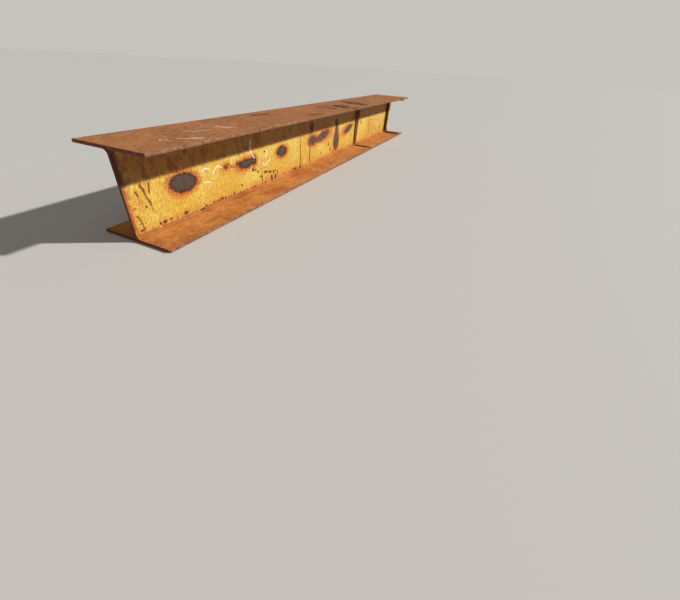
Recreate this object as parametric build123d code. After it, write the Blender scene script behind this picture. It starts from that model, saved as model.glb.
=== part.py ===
from build123d import *
import os

# A used steel girder, millimetres, +Z up, standing on its lower flange.
# The origin is under the middle of the girder, at the underside of the lower flange.
# The girder runs along Y, and the stiffener remains are on its +X side.

# Rolled wide-flange section, with web and flanges of one thickness
SECTION_DEPTH = 299.0
FLANGE_WIDTH = 306.0
FLANGE_THICKNESS = 11.0
WEB_THICKNESS = 11.0
ROOT_RADIUS = 16.0
TOE_RADIUS = 2.0
GIRDER_LENGTH = 2800.0

# Stiffener plates, of which only a torch-cut rim is left on the web and on both flanges
STIFFENER_THICKNESS = 10.0
CORNER_SNIPE = 20.0
EDGE_SETBACK = 4.0
TORCH_CORNER_RADIUS = 12.0
END_STUB_FROM_FAR_END = 125.0
STIFFENER_SPACING = 755.0

# How far the torch left the two rims standing out of the web and out of the flanges
MIDDLE_WEB_RIM_AT_FOOT = 16.0
MIDDLE_WEB_RIM_AT_HEAD = 28.0
MIDDLE_FLANGE_RIM = 8.0
END_WEB_RIM_AT_FOOT = 26.0
END_WEB_RIM_AT_HEAD = 25.0
END_FLANGE_RIM = 11.0

# Fillet welds that hold each rim, one on either side of the plate
WELD_LEG = 5.0
WELD_BULGE = 0.6

WEB_FACE = WEB_THICKNESS / 2
LOWER_FLANGE_FACE = FLANGE_THICKNESS
UPPER_FLANGE_FACE = SECTION_DEPTH - FLANGE_THICKNESS
RIM_TIP = FLANGE_WIDTH / 2 - EDGE_SETBACK
END_STUB_PLACE = GIRDER_LENGTH / 2 - END_STUB_FROM_FAR_END
MIDDLE_STUB_PLACE = END_STUB_PLACE - STIFFENER_SPACING


def rolled_section():
    """The section in the XZ plane: two flanges, the web, root fillets and eased flange toes."""
    flange = Rectangle(FLANGE_WIDTH, FLANGE_THICKNESS, align=(Align.CENTER, Align.MIN))
    web = Rectangle(WEB_THICKNESS, SECTION_DEPTH, align=(Align.CENTER, Align.MIN))
    outline = flange + web + Pos(0, UPPER_FLANGE_FACE) * flange
    toes = [corner for corner in outline.vertices() if abs(corner.X) > FLANGE_WIDTH / 4]
    outline = fillet(toes, TOE_RADIUS)
    roots = [
        corner
        for corner in outline.vertices()
        if abs(abs(corner.X) - WEB_FACE) < ROOT_RADIUS / 4
        and FLANGE_THICKNESS / 2 < corner.Y < SECTION_DEPTH - FLANGE_THICKNESS / 2
    ]
    outline = fillet(roots, ROOT_RADIUS)
    return Plane.XZ * outline


def rolled_girder():
    """The whole girder as it leaves the mill, cut square at both ends."""
    return extrude(rolled_section(), amount=GIRDER_LENGTH / 2, both=True)


def stiffener_rim(web_rim_at_foot, web_rim_at_head, flange_rim):
    """What the torch left of a stiffener plate, as a solid centred on Y = 0."""
    cut_at_foot = WEB_FACE + web_rim_at_foot
    cut_at_head = WEB_FACE + web_rim_at_head
    cut_over_foot = LOWER_FLANGE_FACE + flange_rim
    cut_under_head = UPPER_FLANGE_FACE - flange_rim
    outline = Polyline(
        (WEB_FACE, LOWER_FLANGE_FACE + CORNER_SNIPE),
        (WEB_FACE + CORNER_SNIPE, LOWER_FLANGE_FACE),
        (RIM_TIP, LOWER_FLANGE_FACE),
        (RIM_TIP, cut_over_foot),
        (cut_at_foot, cut_over_foot),
        (cut_at_head, cut_under_head),
        (RIM_TIP, cut_under_head),
        (RIM_TIP, UPPER_FLANGE_FACE),
        (WEB_FACE + CORNER_SNIPE, UPPER_FLANGE_FACE),
        (WEB_FACE, UPPER_FLANGE_FACE - CORNER_SNIPE),
        close=True,
    )
    plate = make_face(outline)
    torch_corners = [
        plate.vertices().sort_by_distance((cut_at_foot, cut_over_foot))[0],
        plate.vertices().sort_by_distance((cut_at_head, cut_under_head))[0],
    ]
    plate = fillet(torch_corners, TORCH_CORNER_RADIUS)
    return extrude(Plane.XZ * plate, amount=STIFFENER_THICKNESS / 2, both=True)


def weld(length):
    """One fillet weld along +Z from the origin, its two legs along +X and +Y, its face bulging."""
    reach = WELD_LEG / 2 + WELD_BULGE
    legs = Polyline((WELD_LEG, 0), (0, 0), (0, WELD_LEG))
    face = ThreePointArc((0, WELD_LEG), (reach, reach), (WELD_LEG, 0))
    return extrude(make_face([*legs.edges(), face]), amount=length)


def welds_on_one_side():
    """The welds on the +Y side of a rim: up the web, and out along each flange."""
    up_the_web = UPPER_FLANGE_FACE - LOWER_FLANGE_FACE - 2 * CORNER_SNIPE
    along_flange = RIM_TIP - WEB_FACE - CORNER_SNIPE
    plate_side = STIFFENER_THICKNESS / 2
    web_corner = Plane(
        (WEB_FACE, plate_side, LOWER_FLANGE_FACE + CORNER_SNIPE), x_dir=(1, 0, 0), z_dir=(0, 0, 1)
    )
    foot_corner = Plane(
        (WEB_FACE + CORNER_SNIPE, plate_side, LOWER_FLANGE_FACE), x_dir=(0, 1, 0), z_dir=(1, 0, 0)
    )
    head_corner = Plane(
        (RIM_TIP, plate_side, UPPER_FLANGE_FACE), x_dir=(0, 1, 0), z_dir=(-1, 0, 0)
    )
    return [
        web_corner * weld(up_the_web),
        foot_corner * weld(along_flange),
        head_corner * weld(along_flange),
    ]


def stiffener_stub(rim, place):
    """A rim with its welds on both sides, at its place along Y."""
    one_side = welds_on_one_side()
    other_side = [mirror(bead, about=Plane.XZ) for bead in one_side]
    stub = rim + one_side + other_side
    return Pos(0, place, 0) * stub


middle_rim = stiffener_rim(MIDDLE_WEB_RIM_AT_FOOT, MIDDLE_WEB_RIM_AT_HEAD, MIDDLE_FLANGE_RIM)
end_rim = stiffener_rim(END_WEB_RIM_AT_FOOT, END_WEB_RIM_AT_HEAD, END_FLANGE_RIM)

os.makedirs("parts", exist_ok=True)
export_step(rolled_girder(), "parts/girder.step")
export_step(stiffener_stub(middle_rim, MIDDLE_STUB_PLACE), "parts/stiffener_stub_middle.step")
export_step(stiffener_stub(end_rim, END_STUB_PLACE), "parts/stiffener_stub_end.step")
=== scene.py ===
import math

import bmesh
import bpy
from mathutils import Matrix, Vector, noise
from mathutils.kdtree import KDTree


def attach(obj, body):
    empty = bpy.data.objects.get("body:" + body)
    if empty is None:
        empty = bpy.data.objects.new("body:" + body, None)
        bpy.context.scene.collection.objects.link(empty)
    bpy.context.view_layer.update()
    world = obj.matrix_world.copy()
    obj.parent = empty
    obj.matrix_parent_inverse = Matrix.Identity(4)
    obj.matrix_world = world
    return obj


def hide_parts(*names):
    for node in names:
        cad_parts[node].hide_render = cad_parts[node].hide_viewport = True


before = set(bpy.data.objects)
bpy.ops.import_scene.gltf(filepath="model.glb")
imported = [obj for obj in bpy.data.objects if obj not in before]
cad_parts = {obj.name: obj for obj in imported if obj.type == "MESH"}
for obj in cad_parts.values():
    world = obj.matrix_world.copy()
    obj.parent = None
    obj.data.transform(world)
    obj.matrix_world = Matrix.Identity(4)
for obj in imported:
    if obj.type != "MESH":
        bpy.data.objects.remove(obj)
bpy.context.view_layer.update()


# The girder: one length of hot-rolled wide-flange steel, 299 x 306 mm with web and flanges 11 mm
# thick. The rolls leave round root fillets and eased flange toes, and both ends are cut across.
DEPTH = 0.299
WIDTH = 0.306
STEEL = 0.011
ROOT_RADIUS = 0.016
TOE_RADIUS = 0.002
LENGTH = 2.8
HALF_WIDTH = WIDTH / 2
HALF_LENGTH = LENGTH / 2
END_ARRIS = 0.0006
ON_THE_PLANE = 1e-6
CLOSE = 1e-5


def long_edges(shape):
    """The edges that run from one end of the girder to the other."""
    return [e for e in shape.edges if abs(e.verts[0].co.y - e.verts[1].co.y) > HALF_LENGTH]


def slice_across(shape, point, normal):
    """A straight line of new edges where a plane crosses the shape."""
    bmesh.ops.bisect_plane(
        shape,
        geom=[*shape.verts, *shape.edges, *shape.faces],
        dist=ON_THE_PLANE,
        plane_co=point,
        plane_no=normal,
    )


girder = bmesh.new()
web_block = Matrix.Translation((0, 0, DEPTH / 2)) @ Matrix.Diagonal((STEEL, LENGTH, DEPTH, 1))
bmesh.ops.create_cube(girder, size=1.0, matrix=web_block)
for flange_face in (STEEL, DEPTH - STEEL):
    slice_across(girder, (0, 0, flange_face), (0, 0, 1))
for side in (-1, 1):
    flange_roots = [
        f
        for f in girder.faces
        if f.normal.x * side > 0.9 and abs(f.calc_center_median().z - DEPTH / 2) > DEPTH / 2 - STEEL
    ]
    flange_toes = bmesh.ops.extrude_discrete_faces(girder, faces=flange_roots)["faces"]
    for corner in {v for f in flange_toes for v in f.verts}:
        corner.co.x = side * HALF_WIDTH
girder.normal_update()
bmesh.ops.dissolve_limit(girder, angle_limit=0.01, verts=girder.verts, edges=girder.edges)
bmesh.ops.recalc_face_normals(girder, faces=girder.faces)
roots = [
    e
    for e in long_edges(girder)
    if abs(e.verts[0].co.x) < STEEL and STEEL / 2 < e.verts[0].co.z < DEPTH - STEEL / 2
]
bmesh.ops.bevel(
    girder, geom=roots, offset=ROOT_RADIUS, segments=8, profile=0.5, affect="EDGES", material=-1
)
toes = [e for e in long_edges(girder) if abs(e.verts[0].co.x) > HALF_WIDTH - CLOSE]
bmesh.ops.bevel(
    girder, geom=toes, offset=TOE_RADIUS, segments=3, profile=0.5, affect="EDGES", material=-1
)
end_edges = [e for e in girder.edges if abs(e.verts[0].co.y + e.verts[1].co.y) > LENGTH - CLOSE]
bmesh.ops.bevel(
    girder, geom=end_edges, offset=END_ARRIS, segments=1, profile=0.5, affect="EDGES", material=-1
)

# A grid of small faces over the whole section, to carry the unevenness of real steel
FLANGE_STRIPS = 13
FLANGE_STRIP = 0.0103
FIRST_FLANGE_STRIP = 0.024
STRIP_OVER_WEB = 0.0105
WEB_STRIPS = 22
WEB_STRIP = 0.0111
FIRST_WEB_STRIP = 0.033
ROWS_ALONG = 330

for step in range(FLANGE_STRIPS):
    for side in (-1, 1):
        slice_across(girder, (side * (FIRST_FLANGE_STRIP + FLANGE_STRIP * step), 0, 0), (1, 0, 0))
for side in (-1, 0, 1):
    slice_across(girder, (side * STRIP_OVER_WEB, 0, 0), (1, 0, 0))
for step in range(WEB_STRIPS):
    slice_across(girder, (0, 0, FIRST_WEB_STRIP + WEB_STRIP * step), (0, 0, 1))
bmesh.ops.subdivide_edges(girder, edges=long_edges(girder), cuts=ROWS_ALONG, use_grid_fill=True)

# How deep the rolled faces wave, the toes are knocked in, and the cut ends wander
LONG_WAVE = 0.00038
SHORT_WAVE = 0.00016
KNOCK_DEPTH = 0.0016
TOE_BAND = 0.0045
SOUND_END = 0.06
CUT_WANDER = 0.0011
CUT_CHATTER = 0.0005
CUT_BAND = 0.002


def hollow(place, size, seed=0.0):
    """A smooth random depth from 0 to 1, whose hollows are about size millimetres apart."""
    return 0.5 + 0.5 * noise.noise(place * (1000.0 / size) + Vector((seed, 7.3 * seed, 3.1 * seed)))


def nicks(along, seed):
    """How deep a flange toe is knocked in at a place along it, by sharp knocks and by dull ones."""
    sharp = noise.noise(Vector((along * 31.0, seed, 0.5 * seed)))
    dull = noise.noise(Vector((along * 9.0, 4.0 + seed, seed)))
    away_from_ends = min(1.0, (HALF_LENGTH - abs(along)) / SOUND_END)
    return away_from_ends * (max(0.0, sharp - 0.40) * 1.6 + max(0.0, dull - 0.30) * 0.7)


girder.normal_update()
relief = []
for corner in girder.verts:
    place = corner.co
    sink = LONG_WAVE * hollow(place, 210.0) + SHORT_WAVE * hollow(place, 26.0, 2.0)
    shift = -corner.normal * sink
    reach = abs(place.x) - (HALF_WIDTH - TOE_BAND)
    if reach > 0:
        edge_seed = 11.0 + 5.0 * (place.x > 0) + 13.0 * (place.z > DEPTH / 2)
        knock = KNOCK_DEPTH * nicks(place.y, edge_seed) * min(1.0, reach / TOE_BAND)
        shift.x -= math.copysign(knock, place.x)
    if HALF_LENGTH - abs(place.y) < CUT_BAND:
        end_seed = 3.0 if place.y < 0 else 8.0
        flat = Vector((place.x, place.z, 0))
        wander = CUT_WANDER * hollow(flat, 34.0, end_seed)
        wander += CUT_CHATTER * hollow(flat, 9.0, end_seed)
        shift.y -= math.copysign(wander, place.y)
    relief.append((corner, shift))
for corner, shift in relief:
    corner.co += shift

# The front corner of the lower flange is clipped off at the near end
CLIPPED_CORNER = 0.007
CLIP_REACH = 0.03

clip_zone = []
for face in girder.faces:
    middle = face.calc_center_median()
    near_corner = middle.x > HALF_WIDTH - CLIP_REACH and middle.y < -HALF_LENGTH + CLIP_REACH
    if near_corner and middle.z < STEEL * 1.5:
        clip_zone.append(face)
clip_edges = {e for f in clip_zone for e in f.edges}
clip_corners = {v for f in clip_zone for v in f.verts}
bmesh.ops.bisect_plane(
    girder,
    geom=[*clip_corners, *clip_edges, *clip_zone],
    dist=ON_THE_PLANE,
    plane_co=(HALF_WIDTH - CLIPPED_CORNER, -HALF_LENGTH, 0),
    plane_no=(1, -1, 0),
    clear_outer=True,
)
open_edges = [e for e in girder.edges if e.is_boundary]
bmesh.ops.holes_fill(girder, edges=open_edges, sides=0)


def put(tree, kind, inputs=(), **settings):
    """A node in a material, each of its inputs a value or the output of another node."""
    made = tree.nodes.new(kind)
    for name, value in settings.items():
        setattr(made, name, value)
    for name, value in dict(inputs).items():
        if isinstance(value, bpy.types.NodeSocket):
            tree.links.new(value, made.inputs[name])
        else:
            made.inputs[name].default_value = value
    return made


def calc(tree, operation, *values):
    """One sum on numbers."""
    return put(tree, "ShaderNodeMath", enumerate(values), operation=operation).outputs[0]


def shift_place(tree, operation, *values):
    """One sum on places."""
    return put(tree, "ShaderNodeVectorMath", enumerate(values), operation=operation).outputs[0]


def fade(tree, value, start, end):
    """A mask that rises smoothly from 0 at start to 1 at end, whichever of the two is higher."""
    ramp = {"Value": value, "From Min": start, "From Max": end, "To Min": 0.0, "To Max": 1.0}
    if not isinstance(start, bpy.types.NodeSocket) and start > end:
        ramp.update({"From Min": end, "From Max": start, "To Min": 1.0, "To Max": 0.0})
    return put(tree, "ShaderNodeMapRange", ramp, interpolation_type="SMOOTHSTEP").outputs[0]


def mottle(tree, place, size, detail=3.0, rough=0.55, stretch=(1.0, 1.0, 1.0), seed=0.0):
    """Cloudy variation around 0.5, in patches of about size millimetres."""
    scale = tuple(part / size for part in stretch)
    start = tuple(17.0 * seed + part for part in (1.3, 4.7, 9.1))
    spread = shift_place(tree, "MULTIPLY_ADD", place, scale, start)
    clouds = {"Vector": spread, "Scale": 1.0, "Detail": detail, "Roughness": rough}
    return put(tree, "ShaderNodeTexNoise", clouds).outputs["Fac"]


def lay(tree, mask, under, over, share=1.0):
    """One colour laid over another where the mask is 1, and only by a share of it there."""
    if share < 1.0:
        mask = calc(tree, "MULTIPLY", mask, share)
    layers = {0: mask, 6: under, 7: over}
    return put(tree, "ShaderNodeMix", layers, data_type="RGBA").outputs[2]


def where(tree, *masks):
    """The mask of what lies inside every one of several masks."""
    inside = masks[0]
    for other in masks[1:]:
        inside = calc(tree, "MULTIPLY", inside, other)
    return inside


def outside(tree, mask):
    """The mask of what another mask leaves out."""
    return calc(tree, "SUBTRACT", 1.0, mask)


def shade(red, green, blue):
    """A colour written 0 to 255, as a shader takes it."""
    parts = [part / 255.0 for part in (red, green, blue)]
    linear = [p / 12.92 if p <= 0.04045 else ((p + 0.055) / 1.055) ** 2.4 for p in parts]
    return (*linear, 1.0)


def effect(name, inputs, outputs):
    """An effect that several finishes share, as a node group with its named inputs and outputs."""
    group = bpy.data.node_groups.new(name, "ShaderNodeTree")
    for label, kind in inputs.items():
        group.interface.new_socket(label, in_out="INPUT", socket_type=kind)
    for label, kind in outputs.items():
        group.interface.new_socket(label, in_out="OUTPUT", socket_type=kind)
    return group, group.nodes.new("NodeGroupInput"), group.nodes.new("NodeGroupOutput")


NUMBER = "NodeSocketFloat"
PLACE = "NodeSocketVector"

# Rust: cloudy tone, dark pits, dry orange powder, and how high the crust stands in millimetres.
rust, rust_in, rust_out = effect(
    "rust", {"Place": PLACE}, {"Tone": NUMBER, "Pits": NUMBER, "Powder": NUMBER, "Crust": NUMBER}
)
spot = rust_in.outputs["Place"]
broad = mottle(rust, spot, 150.0, 2.0)
middling = mottle(rust, spot, 19.0, 4.0, 0.62, seed=1.0)
fine = mottle(rust, spot, 3.0, 3.0, 0.65, seed=2.0)
tone = calc(rust, "MULTIPLY_ADD", broad, 0.42, calc(rust, "MULTIPLY", middling, 0.38))
tone = calc(rust, "MULTIPLY_ADD", fine, 0.20, tone)
pits = fade(rust, mottle(rust, spot, 6.5, 2.0, 0.6, seed=3.0), 0.62, 0.74)
powder = fade(rust, mottle(rust, spot, 34.0, 5.0, 0.68, seed=4.0), 0.52, 0.70)
crust = calc(rust, "MULTIPLY_ADD", middling, 0.30, calc(rust, "MULTIPLY", fine, 0.22))
crust = calc(rust, "MULTIPLY_ADD", pits, -0.35, crust)
rust.links.new(fade(rust, tone, 0.40, 0.60), rust_out.inputs["Tone"])
rust.links.new(pits, rust_out.inputs["Pits"])
rust.links.new(powder, rust_out.inputs["Powder"])
rust.links.new(crust, rust_out.inputs["Crust"])

# Stroke: how far a place is from a straight line between two points, for scratches and chalk.
stroke, stroke_in, stroke_out = effect(
    "stroke",
    {"Place": PLACE, "Start": PLACE, "Run": PLACE, "Run Share": PLACE},
    {"Distance": NUMBER},
)
from_start = shift_place(stroke, "SUBTRACT", stroke_in.outputs["Place"], stroke_in.outputs["Start"])
share_node = put(
    stroke,
    "ShaderNodeVectorMath",
    {0: from_start, 1: stroke_in.outputs["Run Share"]},
    operation="DOT_PRODUCT",
)
share = put(stroke, "ShaderNodeClamp", {"Value": share_node.outputs["Value"]}).outputs[0]
along = put(
    stroke, "ShaderNodeVectorMath", {0: stroke_in.outputs["Run"], "Scale": share}, operation="SCALE"
).outputs[0]
off_line = shift_place(stroke, "SUBTRACT", from_start, along)
length_node = put(stroke, "ShaderNodeVectorMath", {0: off_line}, operation="LENGTH")
stroke.links.new(length_node.outputs["Value"], stroke_out.inputs["Distance"])


def line_distance(tree, place, start, end, half_width):
    """Millimetres outside a straight mark with that half width."""
    run = Vector(end) - Vector(start)
    marks = {
        "Place": place,
        "Start": start,
        "Run": tuple(run),
        "Run Share": tuple(run / run.length_squared),
    }
    made = put(tree, "ShaderNodeGroup", marks, node_tree=stroke)
    return calc(tree, "SUBTRACT", made.outputs[0], half_width)


def nearest(tree, distances):
    """The least of several distances, each one drawn up and compared before the next."""
    least = None
    for distance in distances:
        least = distance if least is None else calc(tree, "MINIMUM", least, distance)
    return least


def nearest_line(tree, place, lines):
    """Millimetres outside the nearest of several straight marks."""
    return nearest(tree, (line_distance(tree, place, *line) for line in lines))


def oval_distance(tree, place, middle, radii, turn=0.0):
    """Millimetres outside an oval on the web, below zero inside it."""
    settings = {
        "Vector": place,
        "Location": (0.0, middle[0], middle[1]),
        "Rotation": (math.radians(turn), 0.0, 0.0),
        "Scale": (1e6, radii[0], radii[1]),
    }
    local = put(tree, "ShaderNodeMapping", settings, vector_type="TEXTURE").outputs[0]
    out = put(tree, "ShaderNodeVectorMath", {0: local}, operation="LENGTH").outputs["Value"]
    mean = math.sqrt(radii[0] * radii[1])
    return calc(tree, "MULTIPLY_ADD", out, mean, -mean)


girder_finish = bpy.data.materials.new("painted_and_rusted_girder")
girder_finish.use_nodes = True
tree = girder_finish.node_tree
surface = tree.nodes["Principled BSDF"]
coordinates = put(tree, "ShaderNodeTexCoord")

# Millimetres, and along the girder from its near end, so that marks are placed as a tape reads
IN_MM = (1000.0, 1000.0, 1000.0)
TO_MIDDLE = 1400.0

place = shift_place(
    tree, "MULTIPLY_ADD", coordinates.outputs["Object"], IN_MM, (0.0, TO_MIDDLE, 0.0)
)
parts = put(tree, "ShaderNodeSeparateXYZ", {0: place})
across, down_girder, height = parts.outputs
off_web = calc(tree, "ABSOLUTE", across)
front = fade(tree, across, -2.0, 2.0)
from_middle = calc(tree, "ABSOLUTE", calc(tree, "SUBTRACT", down_girder, TO_MIDDLE))
to_end = calc(tree, "SUBTRACT", TO_MIDDLE, from_middle)


def wobble(tree, place, size):
    """A random shift of every place, up to about half a millimetre each way."""
    cloud = {"Vector": place, "Scale": 1.0 / size, "Detail": 2.0, "Roughness": 0.6}
    mixed = put(tree, "ShaderNodeTexNoise", cloud).outputs["Color"]
    parts = put(tree, "ShaderNodeSeparateColor", {0: mixed}).outputs
    shifts = put(tree, "ShaderNodeCombineXYZ", enumerate(parts)).outputs[0]
    return shift_place(tree, "SUBTRACT", shifts, (0.5, 0.5, 0.5))


wobble_wide = wobble(tree, place, 21.0)
wobble_fine = wobble(tree, place, 5.0)
ragged = shift_place(tree, "MULTIPLY_ADD", wobble_wide, (0.0, 17.0, 13.0), place)
ragged = shift_place(tree, "MULTIPLY_ADD", wobble_fine, (0.0, 9.0, 9.0), ragged)
smeared = shift_place(tree, "MULTIPLY_ADD", wobble_wide, (34.0, 50.0, 0.0), place)
smeared = shift_place(tree, "MULTIPLY_ADD", wobble_fine, (14.0, 40.0, 0.0), smeared)
shaky = shift_place(tree, "MULTIPLY_ADD", wobble_wide, (5.0, 5.0, 5.0), place)
shaky = shift_place(tree, "MULTIPLY_ADD", wobble_fine, (2.4, 2.4, 2.4), shaky)

# Rolled and rusted steel, a different brown on each face
TOP_PALE = shade(200, 132, 80)
TOP_DARK = shade(178, 112, 64)
TOP_STREAK = shade(126, 80, 50)
TOP_GRAIN_DARK = shade(128, 76, 48)
TOP_GRAIN_PALE = shade(222, 162, 114)
FOOT_PALE = shade(224, 154, 76)
FOOT_DARK = shade(194, 116, 50)
FOOT_SMUDGE = shade(172, 92, 44)
FOOT_GRAIN_DARK = shade(160, 82, 38)
FOOT_GRAIN_PALE = shade(236, 176, 104)
ROOT_BAND = shade(150, 82, 46)
ROOT_PATCH = shade(120, 66, 38)
UNDER_PALE = shade(120, 76, 52)
UNDER_DARK = shade(66, 44, 34)
PIT = shade(84, 50, 34)
DUST = shade(224, 158, 98)

rusted = put(tree, "ShaderNodeGroup", {"Place": place}, node_tree=rust)
tone, pits, powder, crust = rusted.outputs
top_face = fade(tree, height, 294.0, 298.0)
underneath = fade(tree, height, 5.0, 2.0)
streaks_along = mottle(tree, place, 7.0, 4.0, 0.6, (1.0, 0.045, 1.0), seed=5.0)
smudges = mottle(tree, place, 60.0, 4.0, 0.6, (1.0, 0.55, 1.0), seed=6.0)
top_rust = lay(tree, tone, TOP_DARK, TOP_PALE)
top_rust = lay(tree, fade(tree, streaks_along, 0.50, 0.68), top_rust, TOP_STREAK, 0.34)
foot_rust = lay(tree, tone, FOOT_DARK, FOOT_PALE)
foot_rust = lay(tree, fade(tree, smudges, 0.50, 0.66), foot_rust, FOOT_SMUDGE, 0.46)
under_rust = lay(tree, tone, UNDER_DARK, UNDER_PALE)
grain = mottle(tree, place, 9.0, 3.0, 0.70, (0.8, 0.36, 1.0), seed=28.0)
dark_grain, pale_grain = fade(tree, grain, 0.53, 0.66), fade(tree, grain, 0.46, 0.34)
top_rust = lay(tree, dark_grain, top_rust, TOP_GRAIN_DARK, 0.46)
top_rust = lay(tree, pale_grain, top_rust, TOP_GRAIN_PALE, 0.46)
foot_rust = lay(tree, dark_grain, foot_rust, FOOT_GRAIN_DARK, 0.42)
foot_rust = lay(tree, pale_grain, foot_rust, FOOT_GRAIN_PALE, 0.42)
rust_colour = lay(tree, top_face, foot_rust, top_rust)
root_reach = calc(tree, "MULTIPLY_ADD", smudges, -30.0, off_web)
root_share = calc(tree, "MULTIPLY_ADD", fade(tree, down_girder, 900.0, 400.0), 0.5, 0.4)
in_root = where(
    tree, fade(tree, root_reach, 20.0, 0.0), fade(tree, height, 34.0, 20.0), root_share
)
root_patches = where(tree, in_root, fade(tree, smudges, 0.44, 0.60))
rust_colour = lay(tree, in_root, rust_colour, ROOT_BAND, 0.60)
rust_colour = lay(tree, root_patches, rust_colour, ROOT_PATCH, 0.34)
rust_colour = lay(tree, underneath, rust_colour, under_rust)
rust_colour = lay(tree, powder, rust_colour, DUST, 0.35)
rust_colour = lay(tree, pits, rust_colour, PIT, 0.55)

# Yellow paint, chalked, stained and brushed by rain and rust, with painted shade under the head
PAINT_PALE = shade(236, 210, 100)
PAINT_DEEP = shade(226, 186, 68)
PAINT_RUN = shade(196, 130, 48)
PAINT_BLOT = shade(208, 144, 50)
DAB_DARK = shade(194, 132, 48)
DAB_PALE = shade(242, 220, 126)
HEAD_STAIN_AND_SHADE = shade(126, 64, 29)
HEAD_GRIME_AND_SHADE = shade(84, 44, 24)

paint_clouds = mottle(tree, place, 170.0, 4.0, 0.6, (1.0, 1.0, 1.4), seed=7.0)
paint = lay(tree, fade(tree, paint_clouds, 0.38, 0.62), PAINT_DEEP, PAINT_PALE)
runs = mottle(tree, place, 6.0, 4.0, 0.6, (1.0, 1.0, 0.05), seed=8.0)
run_places = mottle(tree, place, 240.0, 2.0, 0.5, (1.0, 1.0, 0.4), seed=9.0)
higher = fade(tree, height, 90.0, 285.0)
run_amount = calc(tree, "MULTIPLY_ADD", higher, 0.06, fade(tree, run_places, 0.45, 0.75))
run_share = calc(tree, "MULTIPLY_ADD", run_amount, 0.55, 0.18)
paint = lay(tree, where(tree, fade(tree, runs, 0.50, 0.74), run_share), paint, PAINT_RUN)
blots = mottle(tree, place, 14.0, 4.0, 0.62, seed=10.0)
paint = lay(tree, fade(tree, blots, 0.52, 0.66), paint, PAINT_BLOT, 0.50)
dabs = mottle(tree, place, 7.0, 3.0, 0.62, (1.0, 1.0, 0.42), seed=11.0)
paint = lay(tree, fade(tree, dabs, 0.50, 0.62), paint, DAB_DARK, 0.55)
paint = lay(tree, fade(tree, dabs, 0.46, 0.34), paint, DAB_PALE, 0.55)
# Under the head of the web: a brown stain and mottled grime, partly real and partly the painted
# shadow of the upper flange, stronger on the front where that shadow falls
under_head = fade(tree, calc(tree, "MULTIPLY_ADD", blots, 22.0, height), 180.0, 208.0)
head_stain_and_shade = where(tree, under_head, calc(tree, "MULTIPLY_ADD", front, 0.37, 0.38))
paint = lay(tree, head_stain_and_shade, paint, HEAD_STAIN_AND_SHADE)
grime = mottle(tree, place, 26.0, 4.0, 0.6, (1.0, 1.0, 0.7), seed=27.0)
head_grime_and_shade = where(tree, under_head, fade(tree, grime, 0.46, 0.64))
paint = lay(tree, head_grime_and_shade, paint, HEAD_GRIME_AND_SHADE, 0.55)

# Rust specks that come through the paint, closest together near its foot and the near end
SPECK = shade(92, 50, 30)
SPECK_STAIN = shade(196, 110, 42)

specks = mottle(tree, place, 6.0, 3.0, 0.6, (1.0, 1.0, 0.7), seed=12.0)
near_foot = fade(tree, height, 95.0, 22.0)
speck_limit = calc(tree, "MULTIPLY_ADD", near_foot, -0.035, 0.695)
speck_limit = calc(tree, "MULTIPLY_ADD", fade(tree, run_places, 0.42, 0.70), -0.03, speck_limit)
speck_limit = calc(tree, "MULTIPLY_ADD", fade(tree, down_girder, 80.0, 25.0), -0.06, speck_limit)
speck_core = calc(tree, "GREATER_THAN", specks, speck_limit)
speck_stain = fade(tree, calc(tree, "SUBTRACT", specks, speck_limit), -0.09, 0.0)
paint = lay(tree, speck_stain, paint, SPECK_STAIN, 0.55)
paint = lay(tree, speck_core, paint, SPECK, 0.9)

# Where the paint ends: at the root fillets, a finger's width from the cut ends, and on the
# flanges, of which only the underside of the upper one keeps some patches
foot_line = calc(tree, "MULTIPLY_ADD", mottle(tree, place, 24.0, 4.0, 0.6, seed=13.0), 24.0, -12.0)
foot_level = calc(tree, "ADD", height, foot_line)
bare_foot = fade(tree, foot_level, 27.0, 21.0)
end_line = calc(tree, "MULTIPLY_ADD", mottle(tree, place, 15.0, 4.0, 0.65, seed=14.0), 22.0, -11.0)
end_level = calc(tree, "ADD", to_end, end_line)
far_end_paint = calc(tree, "MULTIPLY", fade(tree, down_girder, 1300.0, 1500.0), 7.0)
bare_end = fade(tree, calc(tree, "ADD", end_level, far_end_paint), 9.5, 6.5)
on_flange = fade(tree, off_web, 17.0, 24.0)
head_patch = fade(tree, mottle(tree, place, 70.0, 4.0, 0.6, seed=15.0), 0.42, 0.56)
head_side = fade(tree, height, 150.0, 250.0)
above_underside = fade(tree, height, 289.0, 292.0)
flange_paint = where(tree, head_patch, head_side, outside(tree, above_underside))
painted = where(
    tree, outside(tree, bare_foot), outside(tree, bare_end), outside(tree, top_face)
)
flange_bare = where(tree, on_flange, outside(tree, flange_paint))
painted = where(tree, painted, outside(tree, flange_bare))

# Rust stains in the paint: beyond the middle stub, along its foot, and at the near end, where
# the bare strip is scaled; under the head that strip is darkened further by painted shade
FAR_STAIN = shade(194, 120, 43)
FOOT_STAIN = shade(206, 134, 50)
END_STAIN = shade(206, 112, 44)
END_RUST = shade(196, 100, 40)
END_SCALE = shade(134, 86, 66)
HEAD_END_SHADE = shade(52, 32, 24)

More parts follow.
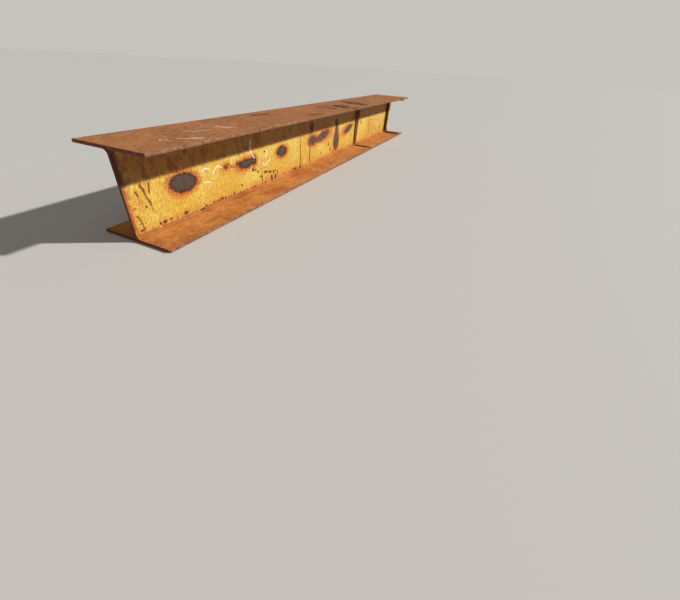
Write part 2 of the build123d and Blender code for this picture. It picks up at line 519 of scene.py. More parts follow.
near_half = fade(tree, down_girder, 1500.0, 1300.0)
end_stain = where(tree, fade(tree, end_level, 34.0, 8.0), near_half)
# The orange end stain is held back under the head, which is painted shade
end_stain = calc(tree, "MULTIPLY_ADD", under_head, -0.8, end_stain)
end_stain = where(tree, fade(tree, end_stain, 0.0, 1.0), fade(tree, blots, 0.34, 0.56))
end_rust = where(tree, fade(tree, end_level, 18.0, 10.0), near_half)
foot_stain = fade(tree, foot_level, 62.0, 24.0)
far_bay = fade(tree, down_girder, 2040.0, 2320.0)
mostly_front = calc(tree, "MULTIPLY_ADD", front, 0.6, 0.4)
far_stain = where(tree, far_bay, fade(tree, grime, 0.43, 0.64), mostly_front)
paint = lay(tree, far_stain, paint, FAR_STAIN, 0.64)
paint = lay(tree, foot_stain, paint, FOOT_STAIN, 0.45)
paint = lay(tree, end_stain, paint, END_STAIN, 0.80)
paint = lay(tree, end_rust, paint, END_RUST, 0.75)
end_scale = where(
    tree,
    fade(tree, end_level, 24.0, 11.0),
    fade(tree, off_web, 24.0, 14.0),
    fade(tree, height, 26.0, 44.0),
    fade(tree, height, 294.0, 288.0),
)
rust_colour = lay(tree, end_scale, rust_colour, END_SCALE, 0.85)
colour = lay(tree, painted, rust_colour, paint)
# The near end's bare strip under the head is darkened almost to black: painted shade
colour = lay(tree, where(tree, end_scale, under_head), colour, HEAD_END_SHADE, 0.85)

# Burns: welding on the far side of the web cooked the paint off in ovals with orange rims
BURNS = (
    ((237, 140), (61, 32), -5),
    ((603, 133), (48, 18), 0),
    ((634, 136), (24, 12), 0),
    ((658, 136), (18, 16), 20),
    ((556, 143), (15, 5), 0),
    ((899, 137), (44, 22), 0),
    ((467, 147), (8, 6), 0),
)
SOFT_BURNS = (
    ((1234, 140), (48, 23), 0),
    ((1302, 138), (36, 13), 6),
    ((1384, 151), (74, 21), 8),
    ((1340, 130), (24, 10), 0),
    ((1580, 92), (40, 54), 0),
    ((1580, 165), (22, 50), 0),
    ((1572, 208), (23, 19), 0),
    ((1784, 142), (66, 19), 12),
    ((1222, 212), (25, 25), 0),
)
HALOS = (
    ((230, 131), (88, 52), 0),
    ((590, 133), (92, 40), 8),
    ((899, 130), (66, 42), 0),
    ((462, 142), (17, 17), 0),
    ((1240, 140), (80, 50), 0),
    ((1400, 150), (118, 46), 4),
    ((1580, 100), (62, 84), 0),
    ((1486, 158), (52, 40), 0),
    ((1740, 138), (112, 42), 10),
    ((1840, 96), (20, 26), 0),
    ((51, 121), (18, 28), 10),
    ((24, 146), (16, 10), 0),
    ((2230, 118), (24, 64), 8),
    ((2310, 100), (16, 50), 8),
)
behind = calc(tree, "MULTIPLY", outside(tree, front), 400.0)


def web_gap(ovals):
    """Millimetres outside the nearest of several ragged ovals on the front of the web."""
    gap = nearest(tree, (oval_distance(tree, ragged, *oval) for oval in ovals))
    return calc(tree, "ADD", gap, behind)


def creep(place, mark):
    """The same places, moved by a hair where an earlier mark has lifted the paint."""
    return shift_place(tree, "MULTIPLY_ADD", mark, (0.0, 0.4, 0.4), place)


BURN_GREY = shade(106, 88, 72)
BURN_BROWN = shade(66, 48, 37)
BURN_RIM = shade(52, 30, 20)
HALO = shade(210, 122, 40)
RING = shade(200, 100, 32)
SCORCHED = shade(136, 60, 26)
SOFT_GREY = shade(104, 86, 70)
SOFT_BROWN = shade(74, 58, 47)
SOFT_BURN_SHADE = shade(46, 33, 28)
SOFT_RING = shade(122, 66, 38)

spikes = mottle(tree, place, 3.6, 3.0, 0.65, (1.0, 1.0, 0.55), seed=25.0)
spike = calc(tree, "SUBTRACT", spikes, 0.5)
blot = calc(tree, "SUBTRACT", blots, 0.5)
burn_gap = calc(tree, "MULTIPLY_ADD", spike, 20.0, web_gap(BURNS))
soft_gap = calc(tree, "MULTIPLY_ADD", blot, 34.0, web_gap(SOFT_BURNS))
halo_gap = calc(tree, "MULTIPLY_ADD", spike, 84.0, web_gap(HALOS))
any_gap = calc(tree, "MINIMUM", burn_gap, calc(tree, "ADD", soft_gap, 3.0))
ring_gap = calc(tree, "MULTIPLY_ADD", spike, 64.0, any_gap)
burn_core = fade(tree, burn_gap, 2.4, -5.0)
soft_core = fade(tree, soft_gap, 2.0, -14.0)
soft_ring = fade(tree, soft_gap, 15.0, -5.0)
burn_rim = where(tree, fade(tree, burn_gap, -11.0, -3.0), fade(tree, burn_gap, 6.0, -1.0))
burn_halo = fade(tree, halo_gap, 9.0, -26.0)
burn_ring = fade(tree, ring_gap, 30.0, 3.0)
burn_scorch = fade(tree, ring_gap, 11.0, -2.0)
on_web = outside(tree, fade(tree, off_web, 7.0, 14.0))
# Halos and rings are held back under the head, where the paint is kept dark as painted shade
halo_out_of_shade = where(tree, on_web, calc(tree, "MULTIPLY_ADD", under_head, -0.7, 1.0))
colour = lay(tree, where(tree, burn_halo, halo_out_of_shade), colour, HALO, 0.76)
colour = lay(tree, where(tree, burn_ring, halo_out_of_shade), colour, RING, 0.80)
colour = lay(tree, where(tree, burn_scorch, on_web), colour, SCORCHED, 0.85)
burn_grain = mottle(tree, place, 2.4, 2.0, 0.7, seed=16.0)
burn_colour = lay(tree, fade(tree, burn_grain, 0.36, 0.64), BURN_BROWN, BURN_GREY)
soft_colour = lay(tree, fade(tree, blots, 0.40, 0.60), SOFT_GREY, SOFT_BROWN)
# Soft burns turn near black under the head: painted shade
soft_colour = lay(tree, under_head, soft_colour, SOFT_BURN_SHADE, 0.80)
colour = lay(tree, where(tree, soft_ring, on_web), colour, SOFT_RING, 0.80)
colour = lay(tree, where(tree, soft_core, on_web), colour, soft_colour)
colour = lay(tree, where(tree, burn_core, on_web), colour, burn_colour)
colour = lay(tree, where(tree, burn_rim, on_web), colour, BURN_RIM, 0.8)

# Scratches, drips and rust lines on the front of the web, each with its half width
WEB_SIDE = 5.5
SCRATCH = shade(94, 52, 28)
SCRATCH_STAIN = shade(200, 120, 44)
SCRATCHES = (
    ((216, 243), (215, 182), 1.3),
    ((227, 232), (226, 214), 2.2),
    ((222, 205), (220, 178), 1.0),
    ((70, 156), (77, 130), 2.2),
    ((77, 130), (86, 104), 2.8),
    ((86, 104), (88, 78), 0.8),
    ((66, 176), (66, 168), 2.2),
    ((96, 172), (91, 144), 2.6),
    ((43, 158), (48, 143), 2.2),
    ((64, 170), (74, 153), 3.0),
    ((26, 82), (28, 74), 2.2),
    ((30, 69), (35, 58), 1.7),
    ((35, 58), (37, 42), 1.2),
    ((37, 42), (36, 24), 1.8),
    ((1084, 236), (1090, 137), 1.8),
    ((1090, 137), (1094, 16), 3.4),
    ((1204, 190), (1204, 120), 3.4),
    ((1204, 120), (1203, 26), 4.0),
    ((1197, 260), (1199, 238), 3.0),
    ((474, 150), (484, 155), 1.2),
    ((484, 155), (501, 141), 1.4),
    ((501, 141), (520, 133), 1.4),
    ((520, 133), (541, 135), 1.2),
    ((714, 54), (714, 27), 3.2),
    ((850, 49), (849, 34), 2.8),
    ((174, 34), (174, 25), 1.4),
    ((908, 31), (908, 17), 2.2),
)
scratched = creep(shaky, burn_halo)
scratch_lines = [((WEB_SIDE, *a), (WEB_SIDE, *b), half) for a, b, half in SCRATCHES]
scratch_gap = nearest_line(tree, scratched, scratch_lines)
scratch_gap = calc(tree, "MULTIPLY_ADD", spike, 9.0, scratch_gap)
scratch_core = fade(tree, scratch_gap, 1.1, -0.3)
scratch_stain = fade(tree, scratch_gap, 7.0, 0.0)
colour = lay(tree, scratch_stain, colour, SCRATCH_STAIN, 0.5)
colour = lay(tree, scratch_core, colour, SCRATCH, 0.88)

# Chips, most of them above the root, where the paint has flaked to dark scale
CHIP = shade(80, 44, 28)
CHIP_STAIN = shade(204, 122, 52)
CHIPS = (
    ((123, 31), (9, 5)),
    ((102, 31), (4, 4)),
    ((149, 31), (4, 3.4)),
    ((220, 30), (8, 5)),
    ((298, 19), (9, 3.4)),
    ((312, 20), (5, 3.4)),
    ((325, 26), (4.4, 3.4)),
    ((370, 27), (4.4, 3.2)),
    ((383, 25), (3.4, 2.4)),
    ((401, 26), (6, 3.6)),
    ((420, 28), (8, 4.4)),
    ((439, 24), (3, 3)),
    ((27, 32), (5, 3)),
    ((66, 101), (2.6, 3)),
    ((26, 107), (2.2, 2.2)),
    ((648, 97), (7, 7)),
    ((665, 93), (3.2, 3.4)),
    ((682, 81), (7, 3.6)),
    ((746, 160), (7, 3.4)),
    ((746, 67), (12, 6)),
    ((768, 62), (5, 2.6)),
    ((785, 58), (9, 5)),
    ((814, 52), (6, 9)),
    ((832, 54), (6, 3.6)),
    ((706, 54), (8, 2.6)),
    ((795, 28), (8, 13)),
    ((829, 27), (9, 9)),
    ((738, 20), (4, 3.6)),
    ((1026, 24), (15, 6)),
    ((1082, 22), (9, 7)),
    ((557, 49), (6, 4)),
    ((500, 26), (4.4, 4.6)),
    ((648, 22), (3.4, 3)),
    ((441, 25), (4, 3)),
    ((1458, 86), (7, 8)),
    ((1491, 51), (8, 8)),
    ((1534, 28), (6, 5)),
    ((1348, 53), (5, 6)),
    ((2038, 157), (9, 8)),
)
flaked = creep(scratched, scratch_core)
flaked = shift_place(tree, "MULTIPLY_ADD", wobble_fine, (0.0, 6.0, 4.0), flaked)
chip_gap = nearest(tree, (oval_distance(tree, flaked, *c) for c in CHIPS))
chip_gap = calc(tree, "ADD", calc(tree, "MULTIPLY_ADD", spike, 12.0, chip_gap), behind)
chip_field = mottle(tree, place, 9.0, 2.0, 0.5, (1.0, 0.8, 1.1), seed=17.0)
chip_zone = where(tree, fade(tree, height, 46.0, 30.0), fade(tree, height, 18.0, 24.0))
chip_bunches = mottle(tree, place, 95.0, 2.0, 0.5, (0.2, 1.0, 0.2), seed=18.0)
chip_places = fade(tree, chip_bunches, 0.46, 0.58)
chip_limit = calc(tree, "MULTIPLY_ADD", where(tree, chip_zone, chip_places), -0.17, 0.83)
small_chips = fade(tree, calc(tree, "SUBTRACT", chip_field, chip_limit), -0.008, 0.008)
chips = calc(tree, "MAXIMUM", fade(tree, chip_gap, 1.9, 0.1), small_chips)
chips = where(tree, chips, on_web)
chip_stain = where(tree, fade(tree, chip_gap, 6.0, 0.0), on_web)
colour = lay(tree, chip_stain, colour, CHIP_STAIN, 0.5)
colour = lay(tree, chips, colour, CHIP, 0.90)

# Darker smears on the upper side of the lower flange
FOOT_SIDE = 11.0
SMEAR = shade(156, 76, 36)
FOOT_SMEARS = (
    ((46, 388), (74, 470), 7.0),
    ((74, 470), (70, 520), 4.0),
    ((92, 236), (96, 300), 6.0),
    ((134, 83), (128, 106), 2.5),
    ((98, 640), (112, 760), 9.0),
    ((60, 930), (66, 1060), 8.0),
    ((104, 1290), (90, 1420), 9.0),
)
dragged = creep(smeared, chips)
smear_lines = [((*a, FOOT_SIDE), (*b, FOOT_SIDE), half) for a, b, half in FOOT_SMEARS]
smear_gap = calc(tree, "MULTIPLY_ADD", blot, 24.0, nearest_line(tree, dragged, smear_lines))
on_foot = where(tree, fade(tree, off_web, 14.0, 24.0), fade(tree, height, 14.0, 12.0), front)
foot_smears = where(tree, fade(tree, smear_gap, 12.0, -6.0), on_foot)
colour = lay(tree, foot_smears, colour, SMEAR, 0.36)

# Worn edges: the toes of the flanges are knocked pale, most of all near the near end, and the
# lower part of the upper flange's toe is darker as painted shade; the cut ends are dark scale
TOE_DARK = shade(110, 76, 58)
TOE_PALE = shade(160, 122, 98)
TOE_LIP_SHADE = shade(98, 68, 54)
TOE_FLECK = shade(214, 186, 166)
FAR_TOE = shade(112, 72, 52)
CUT_DARK = shade(78, 48, 36)
CUT_PALE = shade(122, 80, 58)

toe = fade(tree, off_web, 150.2, 151.6)
toe_clouds = mottle(tree, place, 9.0, 4.0, 0.65, (1.0, 0.5, 1.0), seed=19.0)
toe_colour = lay(tree, fade(tree, toe_clouds, 0.42, 0.60), TOE_DARK, TOE_PALE)
# The lower part of the upper flange's toe, below its upper arris, darkened as painted shade
shaded_lip = where(tree, fade(tree, height, 296.0, 292.5), fade(tree, height, 200.0, 280.0))
toe_colour = lay(tree, shaded_lip, toe_colour, TOE_LIP_SHADE, 0.70)
fleck_places = fade(tree, mottle(tree, place, 130.0, 2.0, 0.5, seed=26.0), 0.50, 0.66)
flecks = fade(tree, mottle(tree, place, 5.0, 2.0, 0.6, (1.0, 0.6, 1.0), seed=20.0), 0.55, 0.66)
toe_colour = lay(tree, where(tree, flecks, fleck_places), toe_colour, TOE_FLECK, 0.45)
toe_colour = lay(tree, fade(tree, down_girder, 1050.0, 1500.0), toe_colour, FAR_TOE, 0.55)
colour = lay(tree, toe, colour, toe_colour, 0.8)
cut_face = fade(tree, to_end, 1.9, 1.2)
drag = mottle(tree, place, 2.2, 3.0, 0.6, (1.0, 1.0, 0.12), seed=21.0)
cut_colour = lay(tree, fade(tree, drag, 0.40, 0.60), CUT_DARK, CUT_PALE)
colour = lay(tree, cut_face, colour, cut_colour, 0.9)

# Scorch marks on the upper side of the upper flange
TOP_SIDE = 299.0
SCORCH = shade(56, 42, 36)
SCORCH_EDGE = shade(140, 88, 58)
SCORCHES = (
    ((-36, 1376), (64, 1392), 13.0),
    ((-44, 1484), (34, 1500), 10.0),
    ((20, 1512), (108, 1490), 19.0),
    ((16, 1562), (50, 1576), 30.0),
    ((-62, 1846), (12, 1786), 26.0),
    ((12, 1786), (96, 1776), 34.0),
    ((-48, 1916), (44, 1866), 12.0),
    ((134, 1508), (146, 1544), 12.0),
    ((92, 1030), (110, 1120), 6.0),
    ((-83, 788), (-68, 880), 6.0),
    ((-82, 2250), (-66, 2310), 8.0),
)
smeared = creep(smeared, chips)
scorch_lines = [((*a, TOP_SIDE), (*b, TOP_SIDE), half) for a, b, half in SCORCHES]
scorch_gap = nearest_line(tree, smeared, scorch_lines)
scorch_clouds = mottle(tree, place, 16.0, 4.0, 0.65, (0.7, 0.8, 1.0), seed=22.0)
scorch_grit = fade(tree, scorch_clouds, 0.38, 0.50)
scorch = where(tree, fade(tree, scorch_gap, 9.0, 0.0), scorch_grit, top_face)
scorch_edge = where(tree, fade(tree, scorch_gap, 20.0, 0.0), top_face)
colour = lay(tree, scorch_edge, colour, SCORCH_EDGE, 0.45)
colour = lay(tree, scorch, colour, SCORCH, 0.94)

# White chalk: loose layout ticks on the web and on the upper flange
CHALK = shade(250, 248, 240)
CHALK_HALF_WIDTH = 1.9
WEB_CHALK = (
    ((328, 156), (350, 165)),
    ((350, 165), (370, 160)),
    ((336, 116), (368, 108)),
    ((386, 136), (402, 154)),
    ((402, 154), (424, 160)),
    ((424, 160), (444, 150)),
    ((648, 226), (636, 200)),
    ((636, 200), (645, 168)),
    ((645, 168), (664, 146)),
    ((724, 112), (748, 96)),
    ((748, 96), (792, 124)),
    ((752, 168), (766, 150)),
    ((766, 150), (754, 134)),
)
TOP_CHALK = (
    ((42, 146), (74, 160)),
    ((42, 146), (52, 140)),
    ((72, 196), (112, 240)),
    ((84, 206), (116, 262)),
    ((92, 222), (122, 244)),
    ((88, 236), (112, 250)),
    ((-14, 298), (16, 320)),
    ((16, 320), (36, 378)),
    ((-4, 438), (58, 462)),
    ((6, 450), (66, 480)),
)
chalked = creep(flaked, scorch)
web_chalk = [((WEB_SIDE, *a), (WEB_SIDE, *b), CHALK_HALF_WIDTH) for a, b in WEB_CHALK]
top_chalk = [((*a, TOP_SIDE), (*b, TOP_SIDE), CHALK_HALF_WIDTH) for a, b in TOP_CHALK]
web_chalk_gap = nearest_line(tree, chalked, web_chalk)
top_chalk_gap = nearest_line(tree, chalked, top_chalk)
chalk_gap = calc(tree, "MINIMUM", web_chalk_gap, top_chalk_gap)
chalk_grit = fade(tree, mottle(tree, place, 1.5, 2.0, 0.6, seed=23.0), 0.30, 0.46)
chalk = where(tree, fade(tree, chalk_gap, 1.0, 0.0), chalk_grit)
colour = lay(tree, chalk, colour, CHALK, 0.95)
tree.links.new(colour, surface.inputs["Base Color"])

# Sheen, and the height in millimetres of paint, crust, specks, burns, small chips and cut faces
PAINT_FILM = 0.16
MILLIMETRE = 0.001
STEEL_SHEEN = 0.35

rough = calc(tree, "MULTIPLY_ADD", painted, -0.34, 0.90)
rough = calc(tree, "MULTIPLY_ADD", blots, 0.16, rough)
rough = calc(tree, "ADD", rough, calc(tree, "MULTIPLY", burn_core, 0.25))
tree.links.new(calc(tree, "MINIMUM", rough, 0.97), surface.inputs["Roughness"])
brush_marks = mottle(tree, place, 2.6, 2.0, 0.5, seed=24.0)
level = where(tree, calc(tree, "MULTIPLY_ADD", brush_marks, 0.05, PAINT_FILM), painted)
for raised, amount in (
    (where(tree, crust, outside(tree, painted)), 0.9),
    (speck_core, 0.10),
    (where(tree, burn_core, burn_grain), 0.35),
    (where(tree, soft_core, burn_grain), 0.25),
    (small_chips, -0.14),
    (where(tree, cut_face, drag), 0.5),
):
    level = calc(tree, "MULTIPLY_ADD", raised, amount, level)
bumps = put(tree, "ShaderNodeBump", {"Height": level, "Distance": MILLIMETRE, "Strength": 1.0})
tree.links.new(bumps.outputs[0], surface.inputs["Normal"])
surface.inputs["Specular IOR Level"].default_value = STEEL_SHEEN


def make_piece(name, shape, *finishes):
    """The finished mesh as an object of its own, smooth on its rounds and sharp at its edges."""
    mesh = bpy.data.meshes.new(name)
    shape.to_mesh(mesh)
    shape.free()
    for finish in finishes:
        mesh.materials.append(finish)
    mesh.shade_smooth()
    mesh.set_sharp_from_angle(angle=math.radians(40.0))
    piece = bpy.data.objects.new(name, mesh)
    bpy.context.collection.objects.link(piece)
    return piece


rolled_girder = make_piece("rolled_girder", girder, girder_finish)
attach(rolled_girder, "root")
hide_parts("girder")


# The stiffener remains: two 10 mm plates were welded into the front of the girder and later torched
# away. What is left of each is a ragged C-shaped rim on the web and on both flanges.
PLATE = 0.010
SNIPE = 0.020
EDGE_SETBACK = 0.004
WEB_FACE = STEEL / 2
RIM_TIP = HALF_WIDTH - EDGE_SETBACK
TORCH_RADIUS = 0.012
LET_IN = 0.0009
SLICE = 0.003
SLICES_OUT = 47
FIRST_SLICE_OUT = 0.0085
SLICES_UP = 90
FIRST_SLICE_UP = 0.0145
TOO_CLOSE = 0.0002
DEEP_BITE = 0.0016
SMALL_BITE = 0.0011
BITE_REACH = 0.0065
RIMS = {
    "middle": {"along": 0.520, "at_foot": 0.016, "at_head": 0.028, "on_flange": 0.008},
    "end": {"along": 1.275, "at_foot": 0.026, "at_head": 0.025, "on_flange": 0.011},
}


def torched_rim(along, at_foot, at_head, on_flange):
    """The rim as the torch left it: its free edge wanders, and nicks run across the cut face."""
    low, high, root = STEEL - LET_IN, DEPTH - STEEL + LET_IN, WEB_FACE - LET_IN
    over_foot, under_head = STEEL + on_flange, DEPTH - STEEL - on_flange
    outline = (
        (WEB_FACE + SNIPE, low),
        (RIM_TIP, low),
        (RIM_TIP, over_foot),
        (WEB_FACE + at_foot, over_foot),
        (WEB_FACE + at_head, under_head),
        (RIM_TIP, under_head),
        (RIM_TIP, high),
        (WEB_FACE + SNIPE, high),
        (root, DEPTH - STEEL - SNIPE),
        (root, STEEL + SNIPE),
    )
    rim = bmesh.new()
    corners = [rim.verts.new((x, along - PLATE / 2, z)) for x, z in outline]
    rim.faces.new(corners)
    bmesh.ops.bevel(
        rim,
        geom=[corners[3], corners[4]],
        offset=TORCH_RADIUS,
        segments=6,
        profile=0.5,
        affect="VERTICES",
        material=-1,
    )
    thickened = bmesh.ops.extrude_face_region(rim, geom=rim.faces[:])["geom"]
    for corner in thickened:
        if isinstance(corner, bmesh.types.BMVert):
            corner.co.y = along + PLATE / 2
    bmesh.ops.recalc_face_normals(rim, faces=rim.faces)
    for face in rim.faces:
        middle = face.calc_center_median()
        faces_opening = abs(face.normal.y) < 0.5 and middle.x < RIM_TIP - TOO_CLOSE
        clear_of_web = middle.x > WEB_FACE + min(at_foot, at_head) * 0.8
        clear_of_flanges = over_foot - TOO_CLOSE < middle.z < under_head + TOO_CLOSE
        if faces_opening and clear_of_web and clear_of_flanges:
            face.material_index = 1
    for step in range(SLICES_OUT):
        slice_across(rim, (FIRST_SLICE_OUT + SLICE * step, 0, 0), (1, 0, 0))
    for step in range(SLICES_UP):
        slice_across(rim, (0, 0, FIRST_SLICE_UP + SLICE * step), (0, 0, 1))
    for part in (-0.25, 0.0, 0.25):
        slice_across(rim, (0, along + part * PLATE, 0), (0, 1, 0))
    in_order = sorted(rim.verts, key=lambda v: v.co.to_tuple(5))
    bmesh.ops.remove_doubles(rim, verts=in_order, dist=TOO_CLOSE)
    rim.normal_update()
    cut = [v for v in rim.verts if any(f.material_index == 1 for f in v.link_faces)]
    cut.sort(key=lambda v: v.co.to_tuple(5))
    near_cut = KDTree(len(cut))
    bites = []
    for index, corner in enumerate(cut):
        outward = Vector((0, 0, 0))
        for face in corner.link_faces:
            if face.material_index == 1:
                outward += face.normal
        across_plate = Vector((corner.co.x, corner.co.y * 0.35, corner.co.z))
        bite = DEEP_BITE * hollow(across_plate, 17.0, 5.0)
        bite += SMALL_BITE * hollow(across_plate, 5.0, 6.0)
        bites.append(-outward.normalized() * bite)
        near_cut.insert(corner.co, index)
    near_cut.balance()
    moves = []
    for corner in rim.verts:
        _, index, gap = near_cut.find(corner.co)
        moves.append((corner, bites[index] * max(0.0, 1.0 - gap / BITE_REACH)))
    for corner, move in moves:
        corner.co += move
    return rim


# Rust on the stubs, with painted shade under the head, and darkest on the end stub
ORANGE_POWDER = shade(176, 104, 56)
HEAD_SHADE = shade(46, 32, 27)
END_STUB_DARK = shade(46, 34, 28)


def rusted_finish(name, dark, pale, pit, lines, roughness, crust_height):
    """A finish of rust in its own browns, with drawn lines stretched over the surface."""
    finish = bpy.data.materials.new(name)
    finish.use_nodes = True
    tree = finish.node_tree
    surface = tree.nodes["Principled BSDF"]
    coordinates = put(tree, "ShaderNodeTexCoord")
    place = shift_place(tree, "MULTIPLY", coordinates.outputs["Object"], IN_MM)
    rusted = put(tree, "ShaderNodeGroup", {"Place": place}, node_tree=rust)
    tone, pits, powder, crust = rusted.outputs
    drawn = mottle(tree, place, 2.6, 3.0, 0.6, lines, seed=31.0)
    colour = lay(tree, tone, dark, pale)
    colour = lay(tree, fade(tree, drawn, 0.46, 0.62), colour, pale, 0.5)
    colour = lay(tree, powder, colour, ORANGE_POWDER, 0.18)
    colour = lay(tree, pits, colour, pit, 0.7)
    _, beyond_middle, height = put(tree, "ShaderNodeSeparateXYZ", {0: place}).outputs
    # Painted shade: darker towards the head, under the upper flange
    colour = lay(tree, fade(tree, height, 165.0, 205.0), colour, HEAD_SHADE, 0.82)
    colour = lay(tree, fade(tree, beyond_middle, 800.0, 1000.0), colour, END_STUB_DARK, 0.74)
    tree.links.new(colour, surface.inputs["Base Color"])
    level = calc(tree, "MULTIPLY_ADD", drawn, 0.35, calc(tree, "MULTIPLY", crust, crust_height))
    bumps = put(tree, "ShaderNodeBump", {"Height": level, "Distance": MILLIMETRE, "Strength": 1.0})
    tree.links.new(bumps.outputs[0], surface.inputs["Normal"])
    surface.inputs["Roughness"].default_value = roughness
    surface.inputs["Specular IOR Level"].default_value = STEEL_SHEEN
    return finish


plate_finish = rusted_finish(
    "torched_plate",
    dark=shade(168, 138, 114),
    pale=shade(208, 176, 148),
    pit=shade(92, 72, 58),
    lines=(1.0, 1.0, 0.3),
    roughness=0.85,
    crust_height=0.8,
)
cut_finish = rusted_finish(
    "torch_cut_face",
    dark=shade(78, 56, 44),
    pale=shade(146, 106, 80),
    pit=shade(38, 28, 24),
    lines=(1.0, 0.12, 1.0),
    roughness=0.78,
    crust_height=0.6,
)


# The fillet welds: one hand-laid bead on either side of each plate, up the web and out along both
# flanges, in overlapping crescents a couple of millimetres apart.
BEAD_LEG = 0.005
BEAD_BULGE = 0.0009
BEAD_STEP = 0.0011
RIPPLE = 0.0026
RIPPLE_SHARE = 0.055
CRESCENT_BOW = 0.55
WANDER_SHARE = 0.13
WANDERS_PER_METRE = 160.0
MEAN_REACH = 0.90
TAPER = 0.004
TAPERED_REACH = 0.45

weld_finish = rusted_finish(
    "rusted_weld",
    dark=shade(76, 46, 32),
    pale=shade(138, 84, 50),
    pit=shade(38, 26, 20),
    lines=(1.0, 1.0, 1.0),
    roughness=0.72,
    crust_height=0.6,
)


def weld_bead(beads, start, on_girder, on_plate, run, length, seed):
    """One bead, added to the others: two legs against the steel and a rippled face between."""
    bead = bmesh.new()
    corner = bead.verts.new((-LET_IN, -LET_IN, 0))
    toe_on_girder = bead.verts.new((BEAD_LEG, -LET_IN, 0))
    toe_on_plate = bead.verts.new((-LET_IN, BEAD_LEG, 0))
    bead.faces.new((corner, toe_on_girder, toe_on_plate))
    face_edge = bead.edges.get((toe_on_girder, toe_on_plate))
    bmesh.ops.subdivide_edges(bead, edges=[face_edge], cuts=5)
    section = bead.faces[:]
    far_end = bmesh.ops.extrude_face_region(bead, geom=section)["geom"]
    for vertex in far_end:
        if isinstance(vertex, bmesh.types.BMVert):
            vertex.co.z = length
    rails = [e for e in bead.edges if abs(e.verts[0].co.z - e.verts[1].co.z) > length / 2]
    bmesh.ops.subdivide_edges(bead, edges=rails, cuts=int(length / BEAD_STEP), use_grid_fill=True)
    for vertex in bead.verts:
        x, y, z = vertex.co
        off_girder, off_plate = x > -LET_IN + ON_THE_PLANE, y > -LET_IN + ON_THE_PLANE
        off_middle = (x - y) / (BEAD_LEG + LET_IN)
        bulge = BEAD_BULGE * (1.0 - off_middle * off_middle)
        crescent = math.cos(math.tau * (z / RIPPLE + CRESCENT_BOW * off_middle * off_middle))
        wander = noise.noise(Vector((z * WANDERS_PER_METRE, seed, 0.3 * off_middle)))
        reach = MEAN_REACH + RIPPLE_SHARE * crescent + WANDER_SHARE * wander
        from_end = min(z, length - z) / TAPER
        reach *= min(1.0, TAPERED_REACH + (1.0 - TAPERED_REACH) * from_end)
        if off_girder:
            vertex.co.x = (x + bulge) * reach
        if off_plate:
            vertex.co.y = (y + bulge) * reach
    placed = Matrix((on_girder, on_plate, run)).transposed().to_4x4()
    placed.translation = Vector(start)
    bmesh.ops.transform(bead, matrix=placed, verts=bead.verts)
    bmesh.ops.recalc_face_normals(bead, faces=bead.faces)
    loose = bpy.data.meshes.new("bead")
    bead.to_mesh(loose)
    bead.free()
    beads.from_mesh(loose)
    bpy.data.meshes.remove(loose)


for stub, sizes in RIMS.items():
    rim_piece = make_piece(f"{stub}_stiffener_rim", torched_rim(**sizes), plate_finish, cut_finish)
    beads = bmesh.new()
    for side in (-1, 1):
        plate_face = sizes["along"] + side * PLATE / 2
        away = (0, side, 0)
        seed = 10.0 * sizes["along"] + side
        up_web = DEPTH - 2 * (STEEL + SNIPE)
        out_flange = RIM_TIP - WEB_FACE - SNIPE
        web_start = (WEB_FACE, plate_face, STEEL + SNIPE)
        weld_bead(beads, web_start, away, (1, 0, 0), (0, 0, 1), up_web, seed)
        for flange_face, up in ((STEEL, 1), (DEPTH - STEEL, -1)):
            flange_start = (WEB_FACE + SNIPE, plate_face, flange_face)
            weld_bead(beads, flange_start, away, (0, 0, up), (1, 0, 0), out_flange, seed + 3.0 * up)
    weld_piece = make_piece(f"{stub}_stiffener_welds", beads, weld_finish)
    for piece in (rim_piece, weld_piece):
        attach(piece, "root")
        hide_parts(f"stiffener_stub_{stub}")


# The floor: a pale matt sheet, so wide that its rim lies near the horizon, where it meets a
# backdrop of about its own tone.
FLOOR_REACH = 60.0
FLOOR_TONE = shade(226, 222, 214)

floor_shape = bmesh.new()
bmesh.ops.create_circle(floor_shape, cap_ends=True, segments=72, radius=FLOOR_REACH)
floor_finish = bpy.data.materials.new("pale_floor")
floor_finish.use_nodes = True
floor_surface = floor_finish.node_tree.nodes["Principled BSDF"]
floor_surface.inputs["Base Color"].default_value = FLOOR_TONE
floor_surface.inputs["Roughness"].default_value = 0.9
floor = make_piece("floor", floor_shape, floor_finish)

# Studio light: one lamp high in front, towards the far end, so that the upper flange shades the
# head of the web, and an even pale surround that fills the shade. The camera sees a backdrop.
LAMP_SIDE = (1.0, 0.66, 0.73)
LAMP_STRENGTH = 3.25
LAMP_SPREAD = 2.0
SURROUND_STRENGTH = 0.19
BACKDROP_TONE = shade(198, 195, 188)

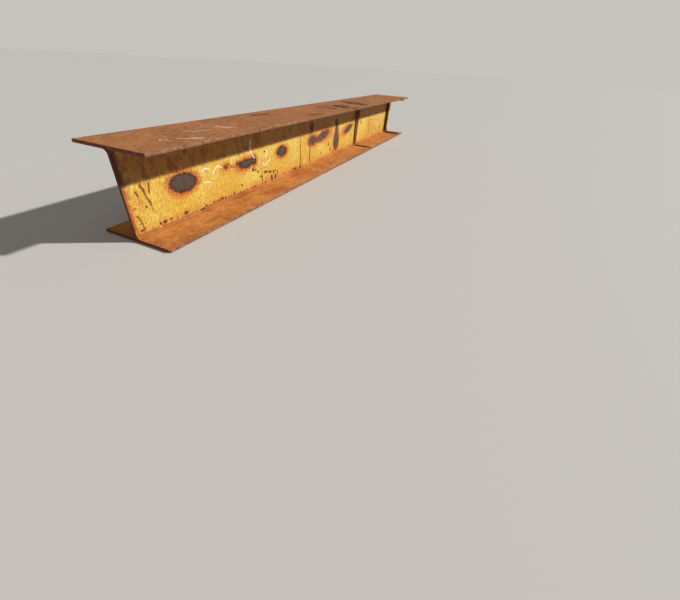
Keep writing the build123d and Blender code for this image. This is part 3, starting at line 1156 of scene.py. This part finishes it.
lamp = bpy.data.objects.new("studio_lamp", bpy.data.lights.new("studio_lamp", "SUN"))
lamp.data.energy = LAMP_STRENGTH
lamp.data.angle = math.radians(LAMP_SPREAD)
lamp.rotation_euler = Vector(LAMP_SIDE).to_track_quat("Z", "Y").to_euler()
bpy.context.collection.objects.link(lamp)
surround = bpy.data.worlds.new("surround")
surround.use_nodes = True
sky = surround.node_tree
filler = sky.nodes["Background"]
filler.inputs["Color"].default_value = (1.0, 1.0, 1.0, 1.0)
filler.inputs["Strength"].default_value = SURROUND_STRENGTH
backdrop = put(sky, "ShaderNodeBackground", {"Color": BACKDROP_TONE, "Strength": 1.0})
by_camera = put(sky, "ShaderNodeLightPath").outputs["Is Camera Ray"]
shown = {0: by_camera, 1: filler.outputs[0], 2: backdrop.outputs[0]}
mixed = put(sky, "ShaderNodeMixShader", shown)
sky.links.new(mixed.outputs[0], sky.nodes["World Output"].inputs["Surface"])
bpy.context.scene.world = surround

# Camera: as the photograph was taken, from beside the near end and looking down at it. Its focal
# length and the centre of its view are in picture points, in a picture 680 points wide and 600
# high, and its turns are in degrees.
PICTURE_WIDTH = 680
PICTURE_HEIGHT = 600
FOCAL_LENGTH = 317.2131
VIEW_CENTRE = (324.8134, 296.0629)
SENSOR_WIDTH = 36.0
STANDPOINT = (0.96993, -1.99799, 0.51683)
TURNED_LEFT = 24.144
TURNED_DOWN = 36.312
ROLLED = 3.549

camera = bpy.data.objects.new("camera", bpy.data.cameras.new("camera"))
camera.data.lens = FOCAL_LENGTH / PICTURE_WIDTH * SENSOR_WIDTH
camera.data.sensor_width = SENSOR_WIDTH
camera.data.sensor_fit = "HORIZONTAL"
camera.data.shift_x = (PICTURE_WIDTH / 2 - VIEW_CENTRE[0]) / PICTURE_WIDTH
camera.data.shift_y = (VIEW_CENTRE[1] - PICTURE_HEIGHT / 2) / PICTURE_WIDTH
camera.data.clip_start = 0.02
camera.data.clip_end = 2 * FLOOR_REACH
camera.location = STANDPOINT
view_turn = Matrix.Rotation(math.radians(TURNED_LEFT), 4, "Z")
view_turn = view_turn @ Matrix.Rotation(math.radians(90.0 - TURNED_DOWN), 4, "X")
view_turn = view_turn @ Matrix.Rotation(math.radians(ROLLED), 4, "Z")
camera.rotation_euler = view_turn.to_euler()
bpy.context.collection.objects.link(camera)
bpy.context.scene.camera = camera
bpy.context.scene.view_settings.view_transform = "Standard"
